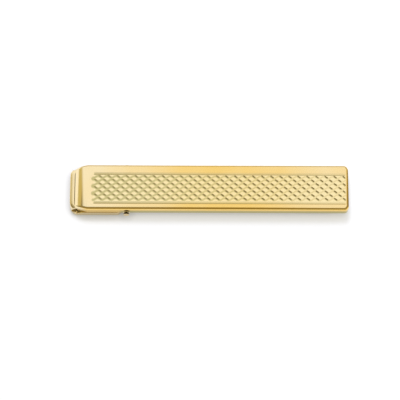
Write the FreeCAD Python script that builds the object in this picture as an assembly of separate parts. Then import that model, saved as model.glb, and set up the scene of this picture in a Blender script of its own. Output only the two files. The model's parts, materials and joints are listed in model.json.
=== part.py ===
"""Hinged tie bar: engraved front shell, spring box, tube hinge, clip arm and leaf spring.

Millimetres. The clip lies on its back: +Z is the engraved face, +X the free end, and the hinge end
is at -X. The origin is under the middle of the clip, on the surface that it lies on.
"""
import FreeCAD, Part
import math
import os

from FreeCAD import Vector

# Front bar
bar_length = 54.0
bar_width = 9.35
bar_depth = 2.1
sheet = 0.5
edge_round = 0.45
corner_round = 0.8
least_corner = 0.05
nose_radius = 2.6
nose_angle = 46.0
taper_length = 2.5
taper_inset = 0.64
wall_setback = 0.6

# Engraved panel: two border grooves on the face
panel_start = 3.5
panel_end_margin = 1.0
panel_top = 2.68
panel_bottom = -3.5
groove_width = 0.2
groove_depth = 0.06

# Spring box under the hinge end
box_overhang = 1.05
box_nose_gap = 0.1
box_hinge_gap = 0.38
box_extra_width = 0.1
box_depth = 1.35
box_wall = 0.45
box_end_rise = 0.8
box_end_width = 8.0
box_corner = 1.5
box_tail_corner = 0.8
box_edge_round = 0.4
rim_relief_depth = 0.45
rim_relief_length = 2.6

# Tube hinge
pin_from_end = 11.2
pin_radius = 0.4
pin_clearance = 0.03
knuckle_radius = 0.72
knuckle_proud = 0.4
knuckle_round = 0.15
knuckle_gap = 0.1
knuckle_bite = 0.6
pin_head_radius = 0.58
pin_head_height = 0.12
pin_head_round = 0.08

# Clip arm
arm_width = 6.4
arm_thickness = 0.55
arm_floor_gap = 0.1
arm_seat = 0.06
arm_shoulder = 0.3
arm_tip_margin = 2.3
arm_corner = 1.2
heel_length = 4.0
heel_width = 4.0
heel_side_gap = 0.3
heel_end_gap = 0.35
grip_length = 4.0
grip_teeth = 5
tooth_height = 0.26
grip_gap = 0.02
ramp_length = 2.0
lip_length = 2.4

# Leaf spring and back lining
leaf_thickness = 0.22
leaf_width = 3.4
leaf_seat_gap = 0.03
leaf_end_gap = 0.2
leaf_heel_contact = 0.5
plate_thickness = 0.4
plate_fit_gap = 0.02
plate_hinge_gap = 0.5

# Places worked out from the sizes
overall_length = bar_length + box_overhang
left_end = -overall_length / 2
right_end = overall_length / 2
nose_tip = left_end + box_overhang
half_width = bar_width / 2
wall_bottom = box_depth
face_top = box_depth + bar_depth
ceiling = face_top - sheet
hinge_x = left_end + pin_from_end
box_half_width = half_width + box_extra_width / 2
box_end_wall = box_overhang - box_nose_gap
box_end_height = box_depth + box_end_rise
box_tail = hinge_x - knuckle_radius - box_hinge_gap
arm_top = arm_floor_gap + arm_thickness
hinge_z = arm_top - arm_seat + knuckle_radius
arm_knuckle_half = half_width - sheet - knuckle_bite - knuckle_gap
arm_tip = right_end - arm_tip_margin
bore_radius = pin_radius + pin_clearance

# Length that outruns every piece, overrun of an open cut, slack for picking edges by their place
REACH = 100.0
OVERRUN = 1.0
TOUCH = 0.01


def prism(pieces, direction):
    """Solid swept from a closed outline: two points are a line, three an arc through the second."""
    edges = []
    for piece in pieces:
        curve = Part.Arc(*piece) if len(piece) == 3 else Part.LineSegment(*piece)
        edges.append(curve.toShape())
    return Part.Face(Part.Wire(edges)).extrude(direction)


def polygon_prism(corners, direction):
    wire = Part.makePolygon(corners + corners[:1])
    return Part.Face(wire).extrude(direction)


def across(radius, start_y, length):
    """Cylinder along Y on the hinge axis."""
    return Part.makeCylinder(radius, length, Vector(hinge_x, start_y, hinge_z), Vector(0, 1, 0))


def slab(x_low, x_high, y_half, z_low, z_high):
    return Part.makeBox(x_high - x_low, 2 * y_half, z_high - z_low, Vector(x_low, -y_half, z_low))


def bar_plan(inset, tail):
    """Plan of the bar, drawn in by inset all round; tail runs its open nose end further left."""
    half = half_width - inset
    end = right_end - inset
    corner = max(corner_round - inset, least_corner)
    taper_radius = (taper_length ** 2 + taper_inset ** 2) / (2 * taper_inset)
    reach = taper_radius - inset
    start = nose_tip + taper_length
    turn = math.asin(taper_length / reach)

    def taper(angle, side):
        return Vector(start - reach * math.sin(angle), side * (half - reach + reach * math.cos(angle)), 0)

    def rounded(angle, side):
        centre_x = end - corner
        centre_y = half - corner
        return Vector(centre_x + corner * math.sin(angle), side * (centre_y + corner * math.cos(angle)), 0)

    quarter = math.pi / 2
    low_tip = taper(turn, -1)
    high_tip = taper(turn, 1)
    low_tail = Vector(nose_tip - tail, low_tip.y, 0)
    high_tail = Vector(nose_tip - tail, high_tip.y, 0)
    pieces = [
        (low_tip, taper(turn / 2, -1), taper(0, -1)),
        (taper(0, -1), rounded(0, -1)),
        (rounded(0, -1), rounded(quarter / 2, -1), rounded(quarter, -1)),
        (rounded(quarter, -1), rounded(quarter, 1)),
        (rounded(quarter, 1), rounded(quarter / 2, 1), rounded(0, 1)),
        (rounded(0, 1), taper(0, 1)),
        (taper(0, 1), taper(turn / 2, 1), high_tip),
        (high_tip, high_tail),
        (high_tail, low_tail),
        (low_tail, low_tip),
    ]
    if tail == 0:
        pieces[7:] = [(high_tip, low_tip)]
    return pieces


def nose_point(depth, share):
    """Point of the bent nose, depth under its outer face, at a share of the full bend."""
    angle = math.radians(nose_angle) * share
    radius = nose_radius - depth
    centre_x = nose_tip + nose_radius * math.sin(math.radians(nose_angle))
    centre_z = face_top - nose_radius
    return Vector(centre_x - radius * math.sin(angle), -REACH, centre_z + radius * math.cos(angle))


def bar_side(depth):
    """Side view of the bar, depth under its outer face, swept across."""
    end = right_end - depth
    low = wall_bottom if depth == 0 else wall_bottom - REACH
    tip = nose_point(depth, 1)
    if depth == 0:
        front = [nose_point(sheet, 1), Vector(nose_tip + wall_setback, -REACH, low)]
    else:
        front = [Vector(tip.x - REACH, -REACH, tip.z), Vector(tip.x - REACH, -REACH, low)]
    top_left = nose_point(depth, 0)
    corners = [top_left, Vector(end, -REACH, top_left.z), Vector(end, -REACH, low)] + front[::-1] + [tip]
    pieces = [(corners[i], corners[i + 1]) for i in range(len(corners) - 1)]
    pieces.append((tip, nose_point(depth, 0.5), top_left))
    return prism(pieces, Vector(0, 2 * REACH, 0))


def bar_block(depth, tail):
    plan = prism(bar_plan(depth, tail), Vector(0, 0, REACH))
    plan.translate(Vector(0, 0, wall_bottom - REACH / 2))
    return plan.common(bar_side(depth))


def face_edges(shape):
    """Edges round the engraved face, without the open end of the nose."""
    tip_line = nose_tip + TOUCH
    found = []
    for edge in shape.Edges:
        box = edge.BoundBox
        on_face = box.ZMin > nose_point(0, 1).z - TOUCH
        if on_face and box.XMax > tip_line and not is_cross_line(edge):
            found.append(edge)
    return found


def is_cross_line(edge):
    """True for the lines that run straight across the bar where the nose starts to bend."""
    box = edge.BoundBox
    return box.XLength < TOUCH and box.XMax < right_end - TOUCH


def front_bar():
    block = bar_block(0, 0)
    block = block.makeFillet(edge_round, face_edges(block))
    shell = block.cut(bar_block(sheet, OVERRUN))
    groove_start = nose_tip + panel_start
    groove_end = right_end - panel_end_margin
    for middle in (panel_top, panel_bottom):
        corner = Vector(groove_start, middle - groove_width / 2, face_top - groove_depth)
        shell = shell.cut(Part.makeBox(groove_end - groove_start, groove_width, REACH, corner))
    notch = across(knuckle_radius, -REACH / 2, REACH)
    return shell.cut(notch)


def back_plate():
    start = hinge_x + knuckle_radius + plate_hinge_gap
    plan = prism(bar_plan(sheet + plate_fit_gap, 0), Vector(0, 0, plate_thickness))
    plan.translate(Vector(0, 0, wall_bottom))
    return plan.common(slab(start, REACH, REACH, 0, REACH))


def upright_edges(shape, x):
    """Corner edges that stand at the given x."""
    return [edge for edge in shape.Edges
            if edge.BoundBox.ZLength > TOUCH and edge.BoundBox.XLength < TOUCH
            and edge.BoundBox.YLength < TOUCH and abs(edge.BoundBox.XMin - x) < TOUCH]


def box_block():
    """Outside of the spring box, with its corners and lower edge rounded."""
    block = slab(left_end, box_tail, box_half_width, 0, box_end_height)
    block = block.makeFillet(box_corner, upright_edges(block, left_end))
    block = block.makeFillet(box_tail_corner, upright_edges(block, box_tail))
    under = [edge for edge in block.Edges if edge.BoundBox.ZMax < TOUCH]
    return block.makeFillet(box_edge_round, under)


def box_hollow():
    """Inside of the spring box, open towards the hinge."""
    start = left_end + box_end_wall
    hollow = slab(start, box_tail + OVERRUN, box_half_width - box_wall, box_wall, REACH)
    return hollow.makeFillet(box_corner - box_wall, upright_edges(hollow, start))


def rim_cut(side):
    """What is cut off above one side rim: it dips towards the rounded corner."""
    inner_y = side * box_end_width / 2
    dip = box_depth - rim_relief_depth
    corners = [
        Vector(left_end - OVERRUN, inner_y, dip),
        Vector(left_end + rim_relief_length / 2, inner_y, dip),
        Vector(left_end + rim_relief_length, inner_y, box_depth),
        Vector(box_tail + OVERRUN, inner_y, box_depth),
        Vector(box_tail + OVERRUN, inner_y, REACH),
        Vector(left_end - OVERRUN, inner_y, REACH),
    ]
    return polygon_prism(corners, Vector(0, side * REACH, 0))


def spring_box():
    """Tray: its end wall stands up in front of the nose, and its side rims stop under the bar."""
    tray = box_block().cut(box_hollow())
    for side in (-1, 1):
        tray = tray.cut(rim_cut(side))
    tray = tray.cut(slab(left_end + box_end_wall, box_tail + OVERRUN, REACH, box_depth, REACH))
    slot_start = hinge_x - heel_length - heel_end_gap
    slot_half = heel_width / 2 + heel_side_gap
    return tray.cut(slab(slot_start, box_tail + OVERRUN, slot_half, -OVERRUN, box_wall + OVERRUN))


def tube(start_y, end_y):
    length = end_y - start_y
    return across(knuckle_radius, start_y, length).cut(across(bore_radius, start_y, length))


def side_knuckle(side):
    """Fixed hinge tube: side is -1 for the near one and 1 for the far one."""
    outer = side * (half_width + knuckle_proud)
    inner = side * (half_width - sheet - knuckle_bite)
    body = tube(min(outer, inner), max(outer, inner))
    rim = [edge for edge in body.Edges
           if abs(edge.BoundBox.YMin - outer) < TOUCH and edge.BoundBox.YLength < TOUCH
           and edge.BoundBox.XLength > 2 * bore_radius + TOUCH]
    return body.makeFillet(knuckle_round, rim)


def arm_knuckle():
    return tube(-arm_knuckle_half, arm_knuckle_half)


def hinge_pin():
    end = half_width + knuckle_proud
    pin = across(pin_radius, -end, 2 * end)
    for side in (-1, 1):
        base = side * end
        outer = base + side * pin_head_height
        head = across(pin_head_radius, min(base, outer), pin_head_height)
        rim = [edge for edge in head.Edges
               if edge.BoundBox.YLength < TOUCH and abs(edge.BoundBox.YMin - outer) < TOUCH]
        pin = pin.fuse(head.makeFillet(pin_head_round, rim))
    return pin.removeSplitter()


def arm_profile():
    """Side view of the arm from its shoulder to the finger lip, with the cross-cut grip on top."""
    half = arm_width / 2
    shoulder = hinge_x - arm_shoulder
    lip_start = arm_tip - lip_length
    grip_start = lip_start - grip_length
    ramp_start = grip_start - ramp_length
    pad_top = wall_bottom - grip_gap - tooth_height
    pad_bottom = pad_top - arm_thickness
    pitch = grip_length / grip_teeth
    outline = [
        (shoulder, arm_floor_gap), (ramp_start, arm_floor_gap), (grip_start, pad_bottom),
        (lip_start, pad_bottom), (arm_tip, 0), (arm_tip, arm_thickness), (lip_start, pad_top),
    ]
    for tooth in range(grip_teeth):
        root = lip_start - tooth * pitch
        outline.append((root - pitch / 2, pad_top + tooth_height))
        outline.append((root - pitch, pad_top))
    outline += [(ramp_start, arm_top), (shoulder, arm_top)]
    corners = [Vector(x, -half, z) for x, z in outline]
    return polygon_prism(corners, Vector(0, arm_width, 0))


def clip_arm():
    strip = arm_profile()
    tips = [edge for edge in strip.Edges
            if edge.BoundBox.XMin > arm_tip - TOUCH and edge.BoundBox.YLength < TOUCH]
    strip = strip.makeFillet(arm_corner, tips)
    heel = slab(hinge_x - heel_length, hinge_x, heel_width / 2, arm_floor_gap, arm_top)
    arm = strip.fuse(heel).removeSplitter()
    return arm.cut(across(knuckle_radius, -REACH / 2, REACH))


def leaf_spring():
    """Bowed strip: its feet stand on the box floor and on the arm's heel, its crown under the bar."""
    left = Vector(left_end + box_end_wall + leaf_end_gap, 0, box_wall + leaf_seat_gap)
    right = Vector(hinge_x - heel_length + leaf_heel_contact, 0, arm_top + leaf_seat_gap)
    crown_z = ceiling - leaf_thickness - 2 * leaf_seat_gap
    crown = Vector((left.x + right.x) / 2, 0, crown_z)
    centre = Part.Circle(left, crown, right).Center

    def outward(point):
        return point + (point - centre).normalize() * leaf_thickness

    pieces = [
        (left, crown, right),
        (right, outward(right)),
        (outward(right), outward(crown), outward(left)),
        (outward(left), left),
    ]
    strip = prism(pieces, Vector(0, leaf_width, 0))
    strip.translate(Vector(0, -leaf_width / 2, 0))
    return strip


nodes = {
    "front_bar": front_bar(),
    "back_plate": back_plate(),
    "spring_box": spring_box(),
    "near_knuckle": side_knuckle(-1),
    "far_knuckle": side_knuckle(1),
    "hinge_pin": hinge_pin(),
    "clip_arm": clip_arm(),
    "arm_knuckle": arm_knuckle(),
    "leaf_spring": leaf_spring(),
}

os.makedirs("parts", exist_ok=True)
for name, shape in nodes.items():
    print(name, len(shape.Solids), shape.isValid(), round(shape.Volume, 3))
    shape.exportStep("parts/" + name + ".step")
print("hinge axis", hinge_x, hinge_z)
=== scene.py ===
"""Looks of the hinged tie bar: engraved front shell, spring box, tube hinge, clip arm and leaf spring.

Pieces are drawn in millimetres in the frame's own axes and are turned into metres as they are set down.
"""
import json
import math

import bmesh
import bpy
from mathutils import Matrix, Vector, noise


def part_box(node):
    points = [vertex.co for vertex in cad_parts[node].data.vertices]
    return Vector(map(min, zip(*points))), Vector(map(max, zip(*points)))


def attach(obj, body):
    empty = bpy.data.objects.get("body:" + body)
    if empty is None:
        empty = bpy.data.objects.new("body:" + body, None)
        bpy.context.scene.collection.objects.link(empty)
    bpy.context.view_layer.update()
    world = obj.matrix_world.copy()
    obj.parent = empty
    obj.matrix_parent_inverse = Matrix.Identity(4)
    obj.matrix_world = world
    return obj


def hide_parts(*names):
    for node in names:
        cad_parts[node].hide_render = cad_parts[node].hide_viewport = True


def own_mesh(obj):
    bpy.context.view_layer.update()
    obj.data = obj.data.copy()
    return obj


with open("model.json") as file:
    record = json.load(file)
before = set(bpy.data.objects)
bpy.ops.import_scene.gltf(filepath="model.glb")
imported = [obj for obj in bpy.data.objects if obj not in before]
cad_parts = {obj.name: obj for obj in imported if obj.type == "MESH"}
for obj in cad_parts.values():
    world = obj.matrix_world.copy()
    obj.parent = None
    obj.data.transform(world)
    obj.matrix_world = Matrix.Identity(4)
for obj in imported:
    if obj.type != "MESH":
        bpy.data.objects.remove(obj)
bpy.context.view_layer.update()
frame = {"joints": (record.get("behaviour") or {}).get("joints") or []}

MM = 0.001
QUARTER = math.pi / 2
FULL_TURN = 2 * math.pi
TOUCH = 1e-4
SLACK = 1e-3


def box_mm(node):
    low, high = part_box(node)
    return low / MM, high / MM


# Places read from the frame
bar_low, bar_high = box_mm("front_bar")
tray_low, tray_high = box_mm("spring_box")
plate_low, plate_high = box_mm("back_plate")
arm_low, arm_high = box_mm("clip_arm")
leaf_low, leaf_high = box_mm("leaf_spring")
near_low, near_high = box_mm("near_knuckle")
far_low, far_high = box_mm("far_knuckle")
middle_low, middle_high = box_mm("arm_knuckle")
pin_low, pin_high = box_mm("hinge_pin")
hinge = Vector(frame["joints"][0]["pos_m"]) / MM
nose_tip = bar_low.x
right_end = bar_high.x
half_width = bar_high.y
face_top = bar_high.z
wall_bottom = bar_low.z

# Front bar, as it is pressed from sheet
sheet = 0.5
edge_round = 0.48
corner_round = 0.8
nose_radius = 2.6
nose_angle = math.radians(46.0)
taper_length = 2.5
taper_inset = 0.64
taper_slant = 0.6
wall_setback = 0.6
end_roll = 0.9
end_roll_radius = 1.5
nose_steps = 10
bend_start = nose_tip + nose_radius * math.sin(nose_angle)
bend_leads = (0.2, 0.4)

# Engine-turned panel: rows of barleycorn grains between wavy V cuts, with a straight cut along each side
grain_length = 1.785
row_pitch = 0.77
grain_rows = 7
first_row_y = 1.67
wave_height = 0.22
cut_width_left = 0.36
cut_width_right = 0.3
cut_depth_left = 0.044
cut_depth_right = 0.07
deepening = 1.6

# Share of depth and shade that a cut keeps where it rises, and how it gathers strength where it falls
faint_left = 1.0
faint_right = 0.45
rising_shade_left = 1.0
rising_shade_right = 0.4
stroke_start_left = -0.4
stroke_start_right = 0.1
stroke_rise = 0.8
chatter = 0.3
chatter_pace = 1.7

# Bounds of the panel and its border cuts
panel_left = -22.86
panel_end_gap = 0.04
panel_right = right_end - edge_round - panel_end_gap
panel_steps = 480
profile_gaps = 3
border_top = 2.64
border_bottom = -3.42
border_depth = 0.06
border_band = 0.4
border_lip = 0.16
border_shade = 0.35
panel_high = border_top + border_band
panel_low = border_bottom - border_lip
panel_centre = (panel_high + panel_low) / 2
panel_half = (panel_high - panel_low) / 2
cap_steps = 10

# Back plate
plate_corner = 0.18

# Spring box
tray_wall = 0.45
tray_end_wall = 0.95
tray_corner = 1.6
tray_tail_corner = 0.8
tray_edge_round = 0.4
tray_end_half = 4.0
tray_end_step = 0.06
tray_end_slope = 0.13
tray_end_lean = 0.15
tray_lean_start = 2.6
tray_rim_round = 0.1
tray_relief = 0.65
tray_relief_length = 2.6
rim_height = wall_bottom
slot_half = 2.3

# Clip arm
arm_thickness = 0.55
arm_floor_gap = 0.1
arm_shoulder = 0.3
arm_corner = 1.2
heel_half = 2.0
heel_end_gap = 0.35
grip_length = 4.0
grip_teeth = 5
tooth_height = 0.26
grip_gap = 0.02
ramp_length = 2.0
lip_length = 2.4

# Hinge and spring
bore_radius = 0.43
knuckle_radius = near_high.z - hinge.z
knuckle_round = 0.15
knuckle_seam = 0.3
pin_radius = 0.4
pin_head_height = 0.12
pin_head_round = 0.08
leaf_thickness = 0.22
leaf_end_gap = 0.2
leaf_seat_gap = 0.03
heel_contact = 0.5
turn_steps = 40

# All pieces
small_edge = 0.05
rim_angle = math.radians(50)
upright_limit = 0.2
crease_angle = math.radians(32)


# Shaping helpers

def flat_sheet(x_low, x_high, y_low, y_high, z):
    """One rectangle, lying flat."""
    shape = bmesh.new()
    bmesh.ops.create_grid(shape, x_segments=1, y_segments=1, size=0.5)
    bmesh.ops.scale(shape, vec=(x_high - x_low, y_high - y_low, 1), verts=shape.verts)
    bmesh.ops.translate(shape, vec=((x_low + x_high) / 2, (y_low + y_high) / 2, z), verts=shape.verts)
    return shape


def cut_along(shape, axis, place, keep=0):
    """Cuts the mesh on a plane across the axis; keep is 1 or -1 to drop what lies below or above it."""
    normal = Vector((0, 0, 0))
    normal[axis] = 1
    point = normal * place
    geometry = shape.verts[:] + shape.edges[:] + shape.faces[:]
    bmesh.ops.bisect_plane(shape, geom=geometry, dist=TOUCH / 10, plane_co=point, plane_no=normal,
                           clear_outer=keep < 0, clear_inner=keep > 0)


def round_corners(shape, verts, radius, steps):
    bmesh.ops.bevel(shape, geom=verts, affect="VERTICES", offset=radius, segments=steps, profile=0.5,
                    material=-1)


def round_edges(shape, edges, radius, steps):
    bmesh.ops.bevel(shape, geom=edges, affect="EDGES", offset=radius, segments=steps, profile=0.5,
                    material=-1, clamp_overlap=True)


def sharp_edges(shape, least_angle):
    return [edge for edge in shape.edges if edge.is_manifold and edge.calc_face_angle(0) > least_angle]


def rim_edges(shape):
    """Edges between an upright side and a lying face."""
    found = []
    for edge in sharp_edges(shape, rim_angle):
        upright = [abs(face.normal.z) < upright_limit for face in edge.link_faces]
        if upright[0] != upright[1]:
            found.append(edge)
    return found


def drop_faces(shape, is_dropped):
    gone = [face for face in shape.faces if is_dropped(face.calc_center_median())]
    bmesh.ops.delete(shape, geom=gone, context="FACES")


def between(value, start, finish, low, high):
    """Straight run from low to high as the value goes from start to finish, and level beyond them."""
    share = min(max((value - start) / (finish - start), 0), 1)
    return low + (high - low) * share


def made_verts(made):
    return [item for item in made["geom"] if isinstance(item, bmesh.types.BMVert)]


def settle(name, shape, finish, body, slot, *nodes, flat_rims=()):
    """Marks the sharp edges of a drawn piece, sets it down in metres and ties it to the frame."""
    bmesh.ops.recalc_face_normals(shape, faces=shape.faces)
    for face in shape.faces:
        face.smooth = True
    for edge in sharp_edges(shape, crease_angle):
        edge.smooth = False
    for edge in flat_rims:
        edge.smooth = False
    bmesh.ops.scale(shape, vec=(MM, MM, MM), verts=shape.verts)
    mesh = bpy.data.meshes.new(name)
    shape.to_mesh(mesh)
    shape.free()
    mesh.materials.append(finish)
    piece = bpy.data.objects.new(name, mesh)
    bpy.context.scene.collection.objects.link(piece)
    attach(piece, body)
    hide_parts(*nodes)
    return piece


# Front bar

def taper_half(x):
    """Half width of the bar at x: it draws in towards the nose, more and more."""
    share = max(nose_tip + taper_length - x, 0) / taper_length
    return half_width - taper_inset * share * (taper_slant + (1 - taper_slant) * share)


def nose_height(x):
    """Height of the outer face at x: flat, then bent down on an arc."""
    reach = max(bend_start - x, 0)
    return face_top - nose_radius + math.sqrt(nose_radius ** 2 - reach ** 2)


def bar_skin():
    """Outer skin of the bar: face, bent nose and side walls, before it has a thickness."""
    shape = flat_sheet(nose_tip, right_end, -half_width, half_width, face_top)
    corners = [vert for vert in shape.verts if vert.co.x > 0]
    round_corners(shape, corners, corner_round, steps=6)
    for step in range(1, nose_steps + 1):
        angle = nose_angle * step / nose_steps
        cut_along(shape, 0, nose_tip + nose_radius * (math.sin(nose_angle) - math.sin(nose_angle - angle)))
    for place in (*(bend_start + lead for lead in bend_leads), nose_tip + taper_length):
        cut_along(shape, 0, place)
    for vert in shape.verts:
        vert.co.y *= taper_half(vert.co.x) / half_width
        vert.co.z = nose_height(vert.co.x)
    outline = [edge for edge in shape.edges if edge.is_boundary]
    nose_line = [edge for edge in outline if max(vert.co.x for vert in edge.verts) < nose_tip + SLACK]
    sides = [edge for edge in outline if edge not in nose_line]
    for vert in made_verts(bmesh.ops.extrude_edge_only(shape, edges=sides)):
        share = max(1 - (vert.co.x - nose_tip) / taper_length, 0)
        side = math.copysign(1, vert.co.y)
        if share > 0:
            vert.co.x += wall_setback * share
            vert.co.y = side * taper_half(vert.co.x)
        vert.co.z = wall_bottom
    bmesh.ops.recalc_face_normals(shape, faces=shape.faces)
    round_edges(shape, sides, edge_round, steps=6)
    return shape


def roll_end(shape):
    """Rolls the face over at the free end, with its engraving, in place of the edge round of the sides."""
    for vert in shape.verts:
        own_drop = face_top - vert.co.z
        reach = vert.co.x - right_end + end_roll
        if reach > 0 and own_drop < edge_round + TOUCH:
            from_side = half_width - abs(vert.co.y)
            share = between(from_side, edge_round, corner_round, 0, 1)
            roll_drop = end_roll_radius - math.sqrt(end_roll_radius ** 2 - reach ** 2)
            kept_drop = own_drop if vert.co.x < right_end - edge_round - TOUCH else own_drop * (1 - share)
            vert.co.z = face_top - roll_drop - kept_drop


def along_panel(x, left, right):
    """Straight run from the left end of the panel to the right one."""
    return between(x, panel_left, panel_right, left, right)


def wave_phase(number, x):
    """Phase of one wavy cut at x: neighbours are half a grain apart."""
    return FULL_TURN * ((x - panel_left) / grain_length + (number + 1) % 2 / 2)


def falling(number, x):
    """Strength of the stroke at x, from 0 to 1: a cut is strongest where it falls to the right."""
    start = along_panel(x, stroke_start_left, stroke_start_right)
    return between(math.sin(wave_phase(number, x)), start, start + stroke_rise, 0, 1)


def wavy_cut(number, x):
    """Place across the bar, and depth, of one wavy cut at x."""
    place = first_row_y + row_pitch * (0.5 - number) + wave_height * math.cos(wave_phase(number, x))
    way_along = along_panel(x, 0, 1)
    full_depth = cut_depth_left + (cut_depth_right - cut_depth_left) * way_along ** deepening
    faint = along_panel(x, faint_left, faint_right)
    stroke = falling(number, x)
    unsteady = 1 + chatter * way_along * stroke * noise.noise(Vector((x * chatter_pace, number, 0)))
    return place, full_depth * (faint + (1 - faint) * stroke) * unsteady


def cut_at(number, x):
    """Place, depth, widths of both sides and shade of a cut at x; the outer two cuts are straight."""
    if number < 0:
        return border_top, border_depth, border_band, border_lip, border_shade
    if number == grain_rows:
        return border_bottom, border_depth, border_band, border_lip, border_shade
    width = along_panel(x, cut_width_left, cut_width_right)
    rising = along_panel(x, rising_shade_left, rising_shade_right)
    return *wavy_cut(number, x), width, width, rising + (1 - rising) * falling(number, x)


def row_profile(number, x):
    """Place, depth and shade of the points across a row at x, from the cut below to the cut above."""
    high, high_depth, _, high_width, high_shade = cut_at(number, x)
    low, low_depth, low_width, _, low_shade = cut_at(number + 1, x)
    low_top = low + low_width
    high_top = high - high_width
    drop = 0
    shade = 0
    if low_top > high_top:
        low_slope = low_depth / low_width
        high_slope = high_depth / high_width
        low_top = (high_slope * high + low_slope * low + low_depth - high_depth) / (high_slope + low_slope)
        high_top = low_top
        drop = low_depth - low_slope * (low_top - low)
        shade = drop / low_depth * min(low_shade, high_shade)
    return ((low, low_depth, low_shade), (low_top, drop, shade),
            (high_top, drop, shade), (high, high_depth, high_shade))


def grain_row(shape, shade_layer, highlight_layer, number):
    """One row of grains: flat lozenges that are left standing between the V cuts below and above."""
    made = bmesh.ops.create_grid(shape, x_segments=panel_steps, y_segments=profile_gaps, size=1)
    for vert in made["verts"]:
        x = between(vert.co.x, -1, 1, panel_left, panel_right)
        rank = round((vert.co.y + 1) / 2 * profile_gaps)
        place, drop, shade = row_profile(number, x)[rank]
        vert.co = Vector((x, place, -drop))
        # Each point carries its share of painted shade, strongest at the bottom of a cut
        vert[shade_layer] = shade
        # Grain tops carry a share of painted highlight
        vert[highlight_layer] = 1 - shade if 0 < rank < profile_gaps else 0
    edges = {edge for vert in made["verts"] for edge in vert.link_edges}
    for edge in edges:
        start, finish = (vert.co for vert in edge.verts)
        edge.smooth = abs(start.x - finish.x) < TOUCH


def round_cap(shape, shade_layer, place, profile):
    """Rounded left end of a cut, or of two that run together, from a profile of radii and depths."""
    deepest = max(drop for radius, drop in profile)
    made = bmesh.ops.create_grid(shape, x_segments=len(profile) - 1, y_segments=1, size=1)
    spare = [vert for vert in made["verts"] if vert.co.y > 0]
    line = sorted((vert for vert in made["verts"] if vert.co.y < 0), key=lambda vert: vert.co.x)
    bmesh.ops.delete(shape, geom=spare, context="VERTS")
    for vert, (radius, drop) in zip(line, profile):
        vert.co = Vector((panel_left, place + radius, -drop))
        vert[shade_layer] = drop / deepest
    edges = {edge for vert in line for edge in vert.link_edges}
    bmesh.ops.spin(shape, geom=line + list(edges), cent=(panel_left, place, 0), axis=(0, 0, 1),
                   angle=math.pi, steps=cap_steps)


def left_caps(shape, shade_layer):
    """Joins each pair of cuts that meets in a neck at the left; the last cut ends on its own."""
    last_place, depth = wavy_cut(grain_rows - 1, panel_left)
    neck = row_pitch / 2 - wave_height
    ridge = depth * (1 - neck / cut_width_left)
    for row in range(0, grain_rows - 1, 2):
        round_cap(shape, shade_layer, first_row_y - row * row_pitch,
                  ((0, ridge), (neck, depth), (neck + cut_width_left, 0)))
    round_cap(shape, shade_layer, last_place, ((0, depth), (cut_width_left, 0)))


def border_wall(shape, shade_layer, place, reach):
    """Outer side of a straight border cut, which comes up to the plain face."""
    edges = [edge for edge in shape.edges
             if edge.is_boundary and all(abs(vert.co.y - place) < TOUCH for vert in edge.verts)]
    for vert in made_verts(bmesh.ops.extrude_edge_only(shape, edges=edges)):
        vert.co.y = place + reach
        vert.co.z = 0
        vert[shade_layer] = 0
    for edge in edges:
        edge.smooth = False


def close_ends(shape, shade_layer, highlight_layer):
    """Brings the ends of the cuts up to the plain face."""
    inner_top = wavy_cut(0, panel_left)[0]
    inner_bottom = wavy_cut(grain_rows - 1, panel_left)[0]
    for vert in shape.verts:
        at_left = abs(vert.co.x - panel_left) < TOUCH
        at_right = abs(vert.co.x - panel_right) < TOUCH
        beyond = vert.co.y > inner_top + TOUCH or vert.co.y < inner_bottom - TOUCH
        if at_left or at_right:
            vert[highlight_layer] = 0
        if at_left and inner_bottom - TOUCH > vert.co.y > border_bottom + TOUCH:
            vert.co.y = inner_bottom - cut_width_left
        if at_right or at_left and beyond:
            vert.co.z = 0
            vert[shade_layer] = 0


def engraved_panel():
    """The whole panel at height zero."""
    shape = bmesh.new()
    # Layers of painted shade for the cuts and of painted highlight for the grain tops
    shade_layer = shape.verts.layers.float.new("painted_cut_shade")
    highlight_layer = shape.verts.layers.float.new("grain")
    for number in range(-1, grain_rows):
        grain_row(shape, shade_layer, highlight_layer, number)
    bmesh.ops.remove_doubles(shape, verts=shape.verts, dist=SLACK)
    border_wall(shape, shade_layer, border_top, border_band)
    border_wall(shape, shade_layer, border_bottom, -border_lip)
    close_ends(shape, shade_layer, highlight_layer)
    left_caps(shape, shade_layer)
    bmesh.ops.remove_doubles(shape, verts=shape.verts, dist=2 * SLACK)
    return shape


def front_bar(finish):
    """Pressed shell with the engraved panel let into its face."""
    shape = bar_skin()
    # The skin takes the layers of painted cut shade and grain highlight that the panel carries
    for label in ("painted_cut_shade", "grain"):
        shape.verts.layers.float.new(label)
    bmesh.ops.solidify(shape, geom=shape.faces[:], thickness=sheet)
    level = [face for face in shape.faces
             if all(abs(vert.co.z - face_top) < TOUCH for vert in face.verts)]
    plate = max(level, key=lambda face: face.calc_area())
    bmesh.ops.delete(shape, geom=[plate], context="FACES_ONLY")
    panel = engraved_panel()
    bmesh.ops.translate(panel, vec=(0, 0, face_top), verts=panel.verts)
    carried = bpy.data.meshes.new("panel")
    panel.to_mesh(carried)
    panel.free()
    shape.from_mesh(carried)
    bpy.data.meshes.remove(carried)
    open_edges = [edge for edge in shape.edges if edge.is_boundary]
    bmesh.ops.triangle_fill(shape, use_beauty=True, use_dissolve=False, edges=open_edges, normal=(0, 0, 1))
    roll_end(shape)
    return settle("front_bar_shell", shape, finish, "bar", "engraved_gold", "front_bar",
                  flat_rims=open_edges)


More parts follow.
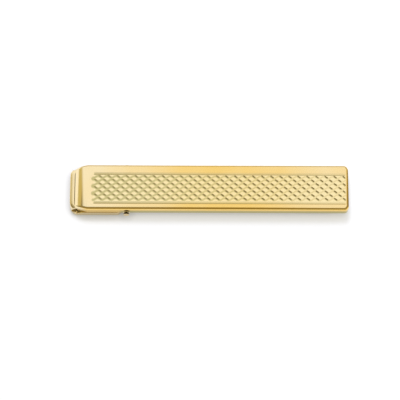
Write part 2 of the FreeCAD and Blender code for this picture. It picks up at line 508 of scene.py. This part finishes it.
def back_plate(finish):
    """Flat lining with softened rims."""
    shape = flat_sheet(plate_low.x, plate_high.x, plate_low.y, plate_high.y, plate_low.z)
    corners = [vert for vert in shape.verts if vert.co.x > 0]
    round_corners(shape, corners, plate_corner, steps=4)
    made = bmesh.ops.extrude_face_region(shape, geom=shape.faces[:])
    bmesh.ops.translate(shape, vec=(0, 0, plate_high.z - plate_low.z), verts=made_verts(made))
    bmesh.ops.recalc_face_normals(shape, faces=shape.faces)
    round_edges(shape, rim_edges(shape), small_edge, steps=3)
    return settle("back_plate_lining", shape, finish, "bar", "lining_gold", "back_plate")


# Spring box

def tray_rim(point):
    """Height of the tray's outer rim: high at the end wall, dipped at the rounded corners, then level."""
    along = point.x - tray_low.x
    if along < tray_corner and abs(point.y) < tray_end_half + TOUCH:
        return tray_high.z - tray_end_slope
    return between(along, tray_relief_length / 2, tray_relief_length, rim_height - tray_relief, rim_height)


def spring_box(finish):
    """Shallow tray with rounded corners, a thick end wall and a slot for the heel of the arm."""
    shape = flat_sheet(tray_low.x, tray_high.x, tray_low.y, tray_high.y, tray_low.z)
    end_corners = [vert for vert in shape.verts if vert.co.x < tray_low.x + TOUCH]
    round_corners(shape, end_corners, tray_corner, steps=10)
    tail_corners = [vert for vert in shape.verts if vert.co.x > tray_high.x - TOUCH]
    round_corners(shape, tail_corners, tray_tail_corner, steps=6)
    slot_start = arm_low.x - heel_end_gap
    for side in (-1, 1):
        for place in (slot_half, tray_end_half, tray_end_half + tray_end_step):
            cut_along(shape, 1, side * place)
    for place in (tray_low.x + tray_relief_length / 2, tray_low.x + tray_relief_length, slot_start):
        cut_along(shape, 0, place)
    drop_faces(shape, lambda middle: middle.x > slot_start and abs(middle.y) < slot_half)
    outline = []
    for edge in shape.edges:
        in_slot = all(abs(vert.co.y) < slot_half + TOUCH and vert.co.x > slot_start - TOUCH
                      for vert in edge.verts)
        at_tail = all(vert.co.x > tray_high.x - TOUCH for vert in edge.verts)
        if edge.is_boundary and not in_slot and not at_tail:
            outline.append(edge)
    for vert in made_verts(bmesh.ops.extrude_edge_only(shape, edges=outline)):
        vert.co.z = tray_rim(vert.co)
        if vert.co.z > rim_height + TOUCH:
            vert.co.x += tray_end_lean * max(abs(vert.co.y) - tray_lean_start, 0) ** 2
    bmesh.ops.recalc_face_normals(shape, faces=shape.faces)
    round_edges(shape, outline, tray_edge_round, steps=5)
    # Inner faces of the box below the rim are marked for painted shade
    inner_shade = shape.verts.layers.float.new("inner_shade")
    outer = set(shape.verts)
    bmesh.ops.solidify(shape, geom=shape.faces[:], thickness=tray_wall)
    for vert in shape.verts:
        if vert not in outer:
            vert.co.x += between(vert.co.x, tray_low.x + tray_corner, tray_low.x + tray_wall,
                                 0, tray_end_wall - tray_wall)
            vert.co.z = max(vert.co.z, tray_low.z + tray_wall)
            if vert.co.z > rim_height + TOUCH:
                vert.co.z = tray_high.z
            elif vert.co.z < rim_height - tray_relief - TOUCH:
                vert[inner_shade] = 1
    bmesh.ops.recalc_face_normals(shape, faces=shape.faces)
    end_rim = [edge for edge in rim_edges(shape)
               if all(vert.co.z > rim_height + TOUCH for vert in edge.verts)]
    round_edges(shape, end_rim, tray_rim_round, steps=4)
    return settle("spring_box_tray", shape, finish, "bar", "polished_gold", "spring_box")


# Tube hinge

def spun_ring(shape):
    """Turns a profile drawn beside the hinge axis into a round piece."""
    bmesh.ops.delete(shape, geom=shape.faces[:], context="FACES_ONLY")
    bmesh.ops.spin(shape, geom=shape.verts[:] + shape.edges[:], cent=hinge, axis=(0, 1, 0),
                   angle=FULL_TURN, steps=turn_steps, use_merge=True)
    bmesh.ops.remove_doubles(shape, verts=shape.verts, dist=TOUCH)


def darken_within(shape, radius):
    """Marks what lies within a radius of the hinge axis for painted shade."""
    inner_shade = shape.verts.layers.float.new("inner_shade")
    for vert in shape.verts:
        if math.hypot(vert.co.x - hinge.x, vert.co.z - hinge.z) < radius + TOUCH:
            vert[inner_shade] = 1


def side_knuckle(name, node, low, high, finish):
    """Fixed hinge tube with its outer rim rounded; its end and bore carry painted shade behind the head of
    the pin.
    """
    way = 1 if high.y > 0 else -1
    inner_y, outer_y = sorted((low.y, high.y), key=abs)
    outer_y -= way * knuckle_seam
    shape = flat_sheet(hinge.x + bore_radius, hinge.x + knuckle_radius, inner_y, outer_y, hinge.z)
    rim = [vert for vert in shape.verts
           if abs(vert.co.y - outer_y) < TOUCH and vert.co.x > hinge.x + bore_radius + TOUCH]
    round_corners(shape, rim, knuckle_round, steps=5)
    spun_ring(shape)
    darken_within(shape, knuckle_radius - knuckle_round)
    return settle(name, shape, finish, "bar", "polished_gold", node)


def arm_knuckle(finish):
    """Hinge tube on the arm, between the two fixed ones."""
    shape = flat_sheet(hinge.x + bore_radius, hinge.x + knuckle_radius,
                       middle_low.y, middle_high.y, hinge.z)
    rims = [vert for vert in shape.verts if vert.co.x > hinge.x + bore_radius + TOUCH]
    round_corners(shape, rims, small_edge, steps=3)
    spun_ring(shape)
    return settle("arm_knuckle_tube", shape, finish, "arm", "polished_gold", "arm_knuckle")


def hinge_pin(finish):
    """Wire pin with both ends peened to low heads."""
    head_radius = pin_high.z - hinge.z
    head_start = pin_high.y - pin_head_height
    shape = flat_sheet(hinge.x, hinge.x + head_radius, pin_low.y, pin_high.y, hinge.z)
    cut_along(shape, 0, hinge.x + pin_radius)
    for side in (-1, 1):
        cut_along(shape, 1, side * head_start)
    drop_faces(shape, lambda middle: middle.x > hinge.x + pin_radius and abs(middle.y) < head_start)
    bmesh.ops.dissolve_faces(shape, faces=shape.faces[:])
    rims = [vert for vert in shape.verts
            if vert.co.x > hinge.x + head_radius - TOUCH and abs(vert.co.y) > head_start + TOUCH]
    round_corners(shape, rims, pin_head_round, steps=5)
    bmesh.ops.delete(shape, geom=shape.faces[:], context="FACES_ONLY")
    axis_line = [edge for edge in shape.edges
                 if all(abs(vert.co.x - hinge.x) < TOUCH for vert in edge.verts)]
    bmesh.ops.delete(shape, geom=axis_line, context="EDGES")
    spun_ring(shape)
    # The shank between the heads is marked for painted shade, dark in the seams by the tubes
    neck_shade = shape.verts.layers.float.new("inner_shade")
    for vert in shape.verts:
        if abs(vert.co.y) < head_start + TOUCH:
            vert[neck_shade] = 1
    return settle("hinge_pin_wire", shape, finish, "bar", "pin_gold", "hinge_pin")


# Clip arm

def arm_stations():
    """Places along the arm where its thickness profile turns, from the ramp to the finger lip."""
    lip_start = arm_high.x - lip_length
    grip_start = lip_start - grip_length
    return grip_start - ramp_length, grip_start, lip_start


def arm_heights(x):
    """Underside and top of the arm at x."""
    ramp_start, grip_start, lip_start = arm_stations()
    pad_top = wall_bottom - grip_gap - tooth_height
    pad_bottom = pad_top - arm_thickness
    bottom = between(x, ramp_start, grip_start, arm_floor_gap, pad_bottom)
    bottom = between(x, lip_start, arm_high.x, bottom, 0)
    top = bottom + arm_thickness
    if grip_start < x < lip_start:
        pitch = grip_length / grip_teeth
        phase = (x - grip_start) / pitch % 1
        top += tooth_height * (1 - abs(2 * phase - 1))
    reach = abs(x - hinge.x)
    if reach < knuckle_radius:
        top = min(top, hinge.z - math.sqrt(knuckle_radius ** 2 - reach ** 2))
    return bottom, top


def clip_arm(finish):
    """Flat arm: heel in the box, seat for the hinge tube, ramp, cross-cut grip and finger lip."""
    shoulder = hinge.x - arm_shoulder
    ramp_start, grip_start, lip_start = arm_stations()
    shape = flat_sheet(arm_low.x, arm_high.x, arm_low.y, arm_high.y, 0)
    tips = [vert for vert in shape.verts if vert.co.x > 0]
    round_corners(shape, tips, arm_corner, steps=8)
    cut_along(shape, 0, shoulder)
    for side in (-1, 1):
        cut_along(shape, 1, side * heel_half)
    drop_faces(shape, lambda middle: middle.x < shoulder and abs(middle.y) > heel_half)
    bmesh.ops.dissolve_limit(shape, angle_limit=0.01, verts=shape.verts[:], edges=shape.edges[:])
    seat = math.sqrt(knuckle_radius ** 2 - (hinge.z - arm_floor_gap - arm_thickness) ** 2)
    places = [hinge.x + seat * share for share in (-1, -0.5, 0, 0.5, 1)]
    places += [ramp_start, grip_start, lip_start]
    places += [grip_start + grip_length * tooth / (2 * grip_teeth) for tooth in range(1, 2 * grip_teeth)]
    for place in places:
        cut_along(shape, 0, place)
    made = made_verts(bmesh.ops.extrude_face_region(shape, geom=shape.faces[:]))
    upper = set(made)
    for vert in shape.verts:
        bottom, top = arm_heights(vert.co.x)
        vert.co.z = top if vert in upper else bottom
    bmesh.ops.recalc_face_normals(shape, faces=shape.faces)
    round_edges(shape, rim_edges(shape), small_edge, steps=3)
    return settle("clip_arm_strip", shape, finish, "arm", "arm_gold", "clip_arm")


# Leaf spring

def circle_centre(start, crown, finish):
    """Middle of the circle through three points of the X-Z plane."""
    first = crown - start
    second = finish - start
    turn = 2 * (first.x * second.z - first.z * second.x)
    along = (second.z * first.length_squared - first.z * second.length_squared) / turn
    up = (first.x * second.length_squared - second.x * first.length_squared) / turn
    return start + Vector((along, 0, up))


def leaf_spring(finish):
    """Bowed strip that stands on the box floor and on the heel of the arm."""
    left = Vector((tray_low.x + tray_end_wall + leaf_end_gap, 0, tray_wall + leaf_seat_gap))
    right = Vector((arm_low.x + heel_contact, 0, arm_floor_gap + arm_thickness + leaf_seat_gap))
    crown = Vector(((left.x + right.x) / 2, 0, leaf_high.z - leaf_thickness))
    centre = circle_centre(left, crown, right)
    sweep = (left - centre).angle(right - centre)
    shape = flat_sheet(left.x, left.x + 1, leaf_low.y, leaf_high.y, left.z)
    spare = [vert for vert in shape.verts if vert.co.x > left.x + TOUCH]
    bmesh.ops.delete(shape, geom=spare, context="VERTS")
    bmesh.ops.spin(shape, geom=shape.verts[:] + shape.edges[:], cent=centre, axis=(0, 1, 0),
                   angle=sweep, steps=turn_steps)
    bmesh.ops.recalc_face_normals(shape, faces=shape.faces)
    top = max(shape.faces, key=lambda face: face.calc_center_median().z)
    way = 1 if top.normal.z > 0 else -1
    bmesh.ops.solidify(shape, geom=shape.faces[:], thickness=-way * leaf_thickness)
    piece = settle("leaf_spring_strip", shape, finish, "bar", "spring_steel", "leaf_spring")
    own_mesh(piece)
    return piece


# Finishes

pale_gold = (0.905, 0.765, 0.48)
deep_gold = (0.89, 0.61, 0.185)
# Painted highlight on the grain tops, and its share
grain_highlight = (0.93, 0.81, 0.47)
grain_highlight_share = 0.6
# Painted shade in the cuts and low on the walls, with how it gathers to the cut bottoms and how strong it is
# along the panel
cut_shade = (0.51, 0.45, 0.19)
cut_shade_power = (0.5, 1.1)
cut_shade_share = (1.0, 0.75)
# Painted shade inside the box and in the seams of the hinge
inner_shade_color = (0.1, 0.07, 0.03)
satin_gold = (0.86, 0.68, 0.36)
satin_deep = (0.8, 0.6, 0.27)
brushed_gold = (0.88, 0.69, 0.35)
brushed_deep = (0.82, 0.6, 0.25)
peened_gold = (0.84, 0.7, 0.44)
peened_deep = (0.8, 0.62, 0.34)
spring_grey = (0.56, 0.56, 0.57)
spring_deep = (0.47, 0.47, 0.49)

# Share of the deeper tone along the face, as stops from nose to free end, and where it fades on the bar: a
# painted reflection that leaves the face paler toward its ends, painted shade on the edges, and painted
# shade low on the walls
reflection_lean_along = ((0.1, 0.0), (0.4, 0.85), (0.62, 0.85), (0.92, 0.3))
panel_lean = 0.75
margin_fade = 0.2
edge_shade_lean = 0.85
edge_shade_start = 0.02
edge_shade_full = 0.12
nose_fade_start = bend_start - 0.8
nose_fade_end = bend_start + 0.4
# Painted shade low on the side walls, which fades in past the tail of the box
wall_shade_top = 2.7
wall_shade_full = 2.2
tray_fade_start = tray_high.x - 0.5
tray_fade_end = tray_high.x + 0.5

# Cloud levels between which the tone drifts and the film turns dull
drift_levels = (0.35, 0.65)
drift_share = 0.2
dull_levels = (0.42, 0.7)

# Roughness of clean and dull patches, pace, strength and relief of the polish marks
face_polish = {"clean": 0.13, "dull": 0.18, "along": 80, "across": 5000, "strength": 0.5, "relief": 0.0004}
box_polish = {"clean": 0.14, "dull": 0.2, "along": 80, "across": 5000, "strength": 0.5, "relief": 0.0004}
satin_polish = {"clean": 0.3, "dull": 0.36, "along": 2500, "across": 2500, "strength": 0.8, "relief": 0.001}
brush_marks = {"clean": 0.24, "dull": 0.3, "along": 60, "across": 6000, "strength": 1.0, "relief": 0.002}
roll_marks = {"clean": 0.26, "dull": 0.34, "along": 60, "across": 6000, "strength": 0.9, "relief": 0.002}


def add_node(tree, kind, sockets=None, **settings):
    """Adds a node; a socket value that is itself a socket is linked."""
    made = tree.nodes.new(kind)
    for label, value in settings.items():
        setattr(made, label, value)
    for label, value in (sockets or {}).items():
        if isinstance(value, bpy.types.NodeSocket):
            tree.links.new(value, made.inputs[label])
        else:
            made.inputs[label].default_value = value
    return made


def reckon(tree, operation, *values, **settings):
    """Result of one sum on values or sockets."""
    sockets = dict(enumerate(values))
    return add_node(tree, "ShaderNodeMath", sockets, operation=operation, **settings).outputs[0]


def run_between(tree, value, start, finish, low=0.0, high=1.0, **settings):
    """Run from low to high as a value goes from start to finish, and level beyond them."""
    sockets = {"Value": value, "From Min": start, "From Max": finish, "To Min": low, "To Max": high}
    return add_node(tree, "ShaderNodeMapRange", sockets, **settings).outputs[0]


def towards(tree, color, share, other):
    """Brings a colour towards another by a share between 0 and 1."""
    sockets = {"Fac": share, "Color1": color, "Color2": (*other, 1)}
    return add_node(tree, "ShaderNodeMixRGB", sockets).outputs[0]


def cloud(tree, place, scale, detail):
    """Soft cloudy values between 0 and 1."""
    sockets = {"Vector": place, "Scale": scale, "Detail": detail}
    return add_node(tree, "ShaderNodeTexNoise", sockets).outputs["Fac"]


def piece_value(tree, label):
    """A value that the piece's own points carry."""
    return add_node(tree, "ShaderNodeAttribute", attribute_name=label).outputs["Fac"]


def set_stops(ramp, stops):
    """Grey levels along a ramp."""
    while len(ramp.elements) < len(stops):
        ramp.elements.new(1)
    for stop, (place, level) in zip(ramp.elements, stops):
        stop.position = place
        stop.color = (level, level, level, 1)


def effect_group(name, inputs, outputs):
    """An empty shader node group with named sockets."""
    tree = bpy.data.node_groups.new(name, "ShaderNodeTree")
    for label, kind, start in inputs:
        socket = tree.interface.new_socket(label, in_out="INPUT", socket_type=kind)
        if start is not None:
            socket.default_value = start
    for label, kind in outputs:
        tree.interface.new_socket(label, in_out="OUTPUT", socket_type=kind)
    entry = tree.nodes.new("NodeGroupInput")
    leave = tree.nodes.new("NodeGroupOutput")
    return tree, entry.outputs, leave.inputs


def polish_marks_group():
    """Fine marks drawn out along the piece by polishing, between 0 and 1."""
    tree, entry, leave = effect_group(
        "polish_marks",
        (("Position", "NodeSocketVector", None), ("Along", "NodeSocketFloat", 60.0),
         ("Across", "NodeSocketFloat", 4000.0), ("Strength", "NodeSocketFloat", 0.5)),
        (("Marks", "NodeSocketFloat"),))
    stretch = add_node(tree, "ShaderNodeCombineXYZ",
                       {"X": entry["Along"], "Y": entry["Across"], "Z": entry["Across"]})
    place = add_node(tree, "ShaderNodeVectorMath", {0: entry["Position"], 1: stretch.outputs[0]},
                     operation="MULTIPLY")
    centred = reckon(tree, "SUBTRACT", cloud(tree, place.outputs[0], 1.0, 4.0), 0.5)
    spread = reckon(tree, "MULTIPLY_ADD", centred, entry["Strength"], 0.5)
    tree.links.new(spread, leave["Marks"])
    return tree


def tone_drift_group():
    """Slow drift of the plating between a pale and a deeper tone."""
    tree, entry, leave = effect_group(
        "tone_drift",
        (("Position", "NodeSocketVector", None), ("Scale", "NodeSocketFloat", 120.0),
         ("Pale", "NodeSocketColor", (1, 1, 1, 1)), ("Deep", "NodeSocketColor", (1, 1, 1, 1)),
         ("Lean", "NodeSocketFloat", 0.0)),
        (("Color", "NodeSocketColor"),))
    drift = cloud(tree, entry["Position"], entry["Scale"], 2.0)
    share = run_between(tree, drift, *drift_levels, high=drift_share)
    lean = reckon(tree, "ADD", share, entry["Lean"], use_clamp=True)
    mix = add_node(tree, "ShaderNodeMixRGB", {"Fac": lean, "Color1": entry["Pale"], "Color2": entry["Deep"]})
    tree.links.new(mix.outputs[0], leave["Color"])
    return tree


def handling_film_group():
    """Roughness of metal that has been handled: mostly clean, with dull patches."""
    tree, entry, leave = effect_group(
        "handling_film",
        (("Position", "NodeSocketVector", None), ("Scale", "NodeSocketFloat", 180.0),
         ("Clean", "NodeSocketFloat", 0.15), ("Dull", "NodeSocketFloat", 0.22),
         ("Marks", "NodeSocketFloat", 0.5)),
        (("Roughness", "NodeSocketFloat"),))
    patches = cloud(tree, entry["Position"], entry["Scale"], 5.0)
    patch = run_between(tree, patches, *dull_levels, entry["Clean"], entry["Dull"])
    marks = reckon(tree, "ADD", entry["Marks"], 0.5)
    tree.links.new(reckon(tree, "MULTIPLY", patch, marks), leave["Roughness"])
    return tree


polish_marks = polish_marks_group()
tone_drift = tone_drift_group()
handling_film = handling_film_group()


def worked_metal(name, pale, deep, clean, dull, along, across, strength, relief):
    """Metal with drifting tone, drawn-out polish marks and a film from handling."""
    finish = bpy.data.materials.new(name)
    finish.use_nodes = True
    tree = finish.node_tree
    shader = tree.nodes["Principled BSDF"]
    shader.inputs["Metallic"].default_value = 1
    place = add_node(tree, "ShaderNodeTexCoord").outputs["Object"]
    marks = add_node(tree, "ShaderNodeGroup", node_tree=polish_marks)
    tone = add_node(tree, "ShaderNodeGroup", node_tree=tone_drift)
    film = add_node(tree, "ShaderNodeGroup", node_tree=handling_film)
    values = ((marks, {"Along": along, "Across": across, "Strength": strength}),
              (tone, {"Pale": (*pale, 1), "Deep": (*deep, 1)}),
              (film, {"Clean": clean, "Dull": dull}))
    for group, sockets in values:
        tree.links.new(place, group.inputs["Position"])
        for label, value in sockets.items():
            group.inputs[label].default_value = value
    tree.links.new(marks.outputs["Marks"], film.inputs["Marks"])
    bump = add_node(tree, "ShaderNodeBump",
                    {"Height": marks.outputs["Marks"], "Strength": 1.0, "Distance": relief * MM})
    tree.links.new(tone.outputs["Color"], shader.inputs["Base Color"])
    tree.links.new(film.outputs["Roughness"], shader.inputs["Roughness"])
    tree.links.new(bump.outputs["Normal"], shader.inputs["Normal"])
    return finish, tree, shader, tone, place


def engraved_metal(name, pale, deep, shade):
    """Bright gold plate: paler toward the ends of its face and deeper along its middle and edges as painted
    reflection and shade, with a painted highlight on the grain tops and painted shade in the cuts and low on
    the side walls.
    """
    finish, tree, shader, tone, place = worked_metal(name, pale, deep, **face_polish)
    parts = add_node(tree, "ShaderNodeSeparateXYZ", {"Vector": place}).outputs
    along = run_between(tree, parts["X"], nose_tip * MM, right_end * MM)

    # Painted reflection and shade: the tone leans deeper along the middle of the face and on its edges, and
    # stays paler toward the ends of the face
    middle = add_node(tree, "ShaderNodeValToRGB", {"Fac": along})
    set_stops(middle.color_ramp, reflection_lean_along)
    off_panel = reckon(tree, "ABSOLUTE", reckon(tree, "SUBTRACT", parts["Y"], panel_centre * MM))
    margin = run_between(tree, off_panel, (panel_half - margin_fade) * MM, panel_half * MM, panel_lean)
    face_lean = reckon(tree, "MULTIPLY", middle.outputs["Color"], margin)
    edge = run_between(tree, parts["Z"], (face_top - edge_shade_start) * MM,
                       (face_top - edge_shade_full) * MM, high=edge_shade_lean)
    past_nose = run_between(tree, parts["X"], nose_fade_start * MM, nose_fade_end * MM)
    edge_lean = reckon(tree, "MULTIPLY", edge, past_nose)
    tree.links.new(reckon(tree, "MAXIMUM", face_lean, edge_lean), tone.inputs["Lean"])

    # Painted shade in the cuts, gathered more to their bottoms toward the free end
    sharpness = run_between(tree, along, 0, 1, *cut_shade_power)
    strength = run_between(tree, along, 0, 1, *cut_shade_share)
    in_cut = reckon(tree, "POWER", piece_value(tree, "painted_cut_shade"), sharpness)
    in_cut = reckon(tree, "MULTIPLY", in_cut, strength)
    # Painted shade low on the side walls, past the tail of the box
    low = run_between(tree, parts["Z"], wall_shade_top * MM, wall_shade_full * MM)
    past_tray = run_between(tree, parts["X"], tray_fade_start * MM, tray_fade_end * MM)
    shaded = reckon(tree, "MAXIMUM", in_cut, reckon(tree, "MULTIPLY", low, past_tray))
    # Painted highlight on the grain tops
    on_highlight = reckon(tree, "MULTIPLY", piece_value(tree, "grain"), grain_highlight_share)
    color = towards(tree, tone.outputs["Color"], on_highlight, grain_highlight)
    color = towards(tree, color, shaded, shade)
    tree.links.new(color, shader.inputs["Base Color"])
    return finish


def boxed_metal(name, pale, deep, dark):
    """Polished gold plate with painted shade where it is closed in."""
    finish, tree, shader, tone, _ = worked_metal(name, pale, deep, **box_polish)
    color = towards(tree, tone.outputs["Color"], piece_value(tree, "inner_shade"), dark)
    tree.links.new(color, shader.inputs["Base Color"])
    return finish


engraved = engraved_metal("engraved_gold", pale_gold, deep_gold, cut_shade)
polished = boxed_metal("polished_gold", pale_gold, deep_gold, inner_shade_color)
satin = worked_metal("lining_gold", satin_gold, satin_deep, **satin_polish)[0]
brushed = worked_metal("arm_gold", brushed_gold, brushed_deep, **brush_marks)[0]
peened = boxed_metal("pin_gold", peened_gold, peened_deep, inner_shade_color)
steel = worked_metal("spring_steel", spring_grey, spring_deep, **roll_marks)[0]

front_bar(engraved)
back_plate(satin)
spring_box(polished)
side_knuckle("near_knuckle_tube", "near_knuckle", near_low, near_high, polished)
side_knuckle("far_knuckle_tube", "far_knuckle", far_low, far_high, polished)
arm_knuckle(polished)
hinge_pin(peened)
clip_arm(brushed)
leaf_spring(steel)


# Floor, light and camera

floor_half = 3.0
floor_glow = 0.62
contact_reach = 1.65
floor_color = (0.449, 0.471, 0.563)
key_place = (-0.03, 0.26, 0.5)
key_size = (0.16, 0.16)
key_radiance = 18
frame_width = 78.8
lens = 200
elevation = math.radians(70)
aim = (-1.785, -2.74, 3.45)
roll = math.radians(0.2)

# Directions of the room: where each zone starts to show and where it shows in full
west_fade = (-0.02, -0.55)
board_fade = (0.52, 0.36)
south_fade = (0.08, -0.2)
east_fade = (0.1, 0.4)
north_fade = (0.74, 0.88)
slant = math.sqrt(0.5)
crosswise = (slant, slant, 0)
lengthwise = (-slant, slant, 0)
screen_middle = (0, 0.342, 0)
screen_shift = 0.2
screen_width_fade = (0.52, 0.3)
screen_length_fade = (0.62, 0.45)
strip_shift = -0.48
strip_width_fade = (0.26, 0.1)
strip_length_fade = (0.35, 0.2)
room_color = (0.84, 0.87, 0.9)
west_color = (0.66, 0.56, 0.24)
board_color = (1.12, 1.12, 1.12)
south_color = (0.33, 0.27, 0.1)
east_color = (0.36, 0.31, 0.15)
screen_color = (1.06, 1.06, 1.06)
strip_color = (0.26, 0.22, 0.12)
north_color = (0.5, 0.46, 0.34)


def floor():
    """White floor that keeps the shadow of the clip; its glow is dimmed by ambient occlusion where the clip
    stands close over it, a painted contact shade.
    """
    shape = bmesh.new()
    bmesh.ops.create_grid(shape, x_segments=8, y_segments=8, size=floor_half)
    mesh = bpy.data.meshes.new("floor")
    shape.to_mesh(mesh)
    shape.free()
    plane = bpy.data.objects.new("floor", mesh)
    bpy.context.scene.collection.objects.link(plane)
    paint = bpy.data.materials.new("floor_white")
    paint.use_nodes = True
    tree = paint.node_tree
    tree.nodes.clear()
    path = add_node(tree, "ShaderNodeLightPath").outputs
    seen = path["Is Camera Ray"]
    for ray in ("Is Glossy Ray", "Is Transmission Ray"):
        seen = reckon(tree, "MAXIMUM", seen, path[ray])
    # Painted contact shade: the glow seen by the camera and in reflections is dimmed by ambient occlusion
    # near the clip
    clear = add_node(tree, "ShaderNodeAmbientOcclusion", {"Distance": contact_reach * MM}).outputs["AO"]
    level = reckon(tree, "MULTIPLY", reckon(tree, "MULTIPLY", seen, clear), floor_glow)
    glow = add_node(tree, "ShaderNodeEmission", {"Strength": level})
    matt = add_node(tree, "ShaderNodeBsdfDiffuse", {"Color": (*floor_color, 1)})
    both = add_node(tree, "ShaderNodeAddShader", {0: matt.outputs[0], 1: glow.outputs[0]})
    add_node(tree, "ShaderNodeOutputMaterial", {"Surface": both.outputs[0]})
    mesh.materials.append(paint)


def surroundings():
    """Plain room round a slanting soft screen overhead, with a white board low down to the west."""
    world = bpy.data.worlds.new("studio")
    world.use_nodes = True
    bpy.context.scene.world = world
    tree = world.node_tree
    where = add_node(tree, "ShaderNodeTexCoord").outputs["Generated"]
    parts = add_node(tree, "ShaderNodeSeparateXYZ", {"Vector": where}).outputs
    offset = add_node(tree, "ShaderNodeVectorMath", {0: where, 1: screen_middle}, operation="SUBTRACT")

    def fade(value, ends):
        return run_between(tree, value, *ends, interpolation_type="SMOOTHSTEP")

    def away(way, shift):
        along = add_node(tree, "ShaderNodeVectorMath", {0: offset.outputs[0], 1: way},
                         operation="DOT_PRODUCT").outputs["Value"]
        return reckon(tree, "ABSOLUTE", reckon(tree, "SUBTRACT", along, shift))

    def slanting(shift, width_fade, length_fade):
        width = fade(away(crosswise, shift), width_fade)
        return reckon(tree, "MULTIPLY", width, fade(away(lengthwise, 0.0), length_fade))

    west = fade(parts["X"], west_fade)
    zones = ((west, west_color),
             (reckon(tree, "MULTIPLY", west, fade(parts["Z"], board_fade)), board_color),
             (fade(parts["Y"], south_fade), south_color),
             (fade(parts["X"], east_fade), east_color),
             (slanting(screen_shift, screen_width_fade, screen_length_fade), screen_color),
             (slanting(strip_shift, strip_width_fade, strip_length_fade), strip_color),
             (fade(parts["Y"], north_fade), north_color))
    room = (*room_color, 1)
    for share, color in zones:
        room = towards(tree, room, share, color)
    tree.links.new(room, tree.nodes["Background"].inputs["Color"])


def softbox(name, place, size, radiance):
    """Soft light that faces the middle of the clip and isn't mirrored in it."""
    data = bpy.data.lights.new(name, "AREA")
    data.shape = "RECTANGLE"
    data.size, data.size_y = size
    data.energy = radiance * math.pi * size[0] * size[1]
    lamp = bpy.data.objects.new(name, data)
    lamp.location = place
    lamp.rotation_euler = (-Vector(place)).to_track_quat("-Z", "Y").to_euler()
    lamp.visible_glossy = False
    bpy.context.scene.collection.objects.link(lamp)


def camera():
    """Long lens that looks down on the clip from its near side."""
    data = bpy.data.cameras.new("camera")
    data.lens = lens
    data.clip_start = 0.01
    data.clip_end = 20
    eye = bpy.data.objects.new("camera", data)
    distance = frame_width / data.sensor_width * data.lens
    back = Vector((0, -math.cos(elevation), math.sin(elevation)))
    eye.location = (Vector(aim) + back * distance) * MM
    eye.rotation_euler = (QUARTER - elevation, 0, 0)
    eye.rotation_euler.rotate_axis("Z", roll)
    bpy.context.scene.collection.objects.link(eye)
    bpy.context.scene.camera = eye


floor()
surroundings()
softbox("key", key_place, key_size, key_radiance)
camera()
bpy.context.scene.view_settings.view_transform = "Standard"
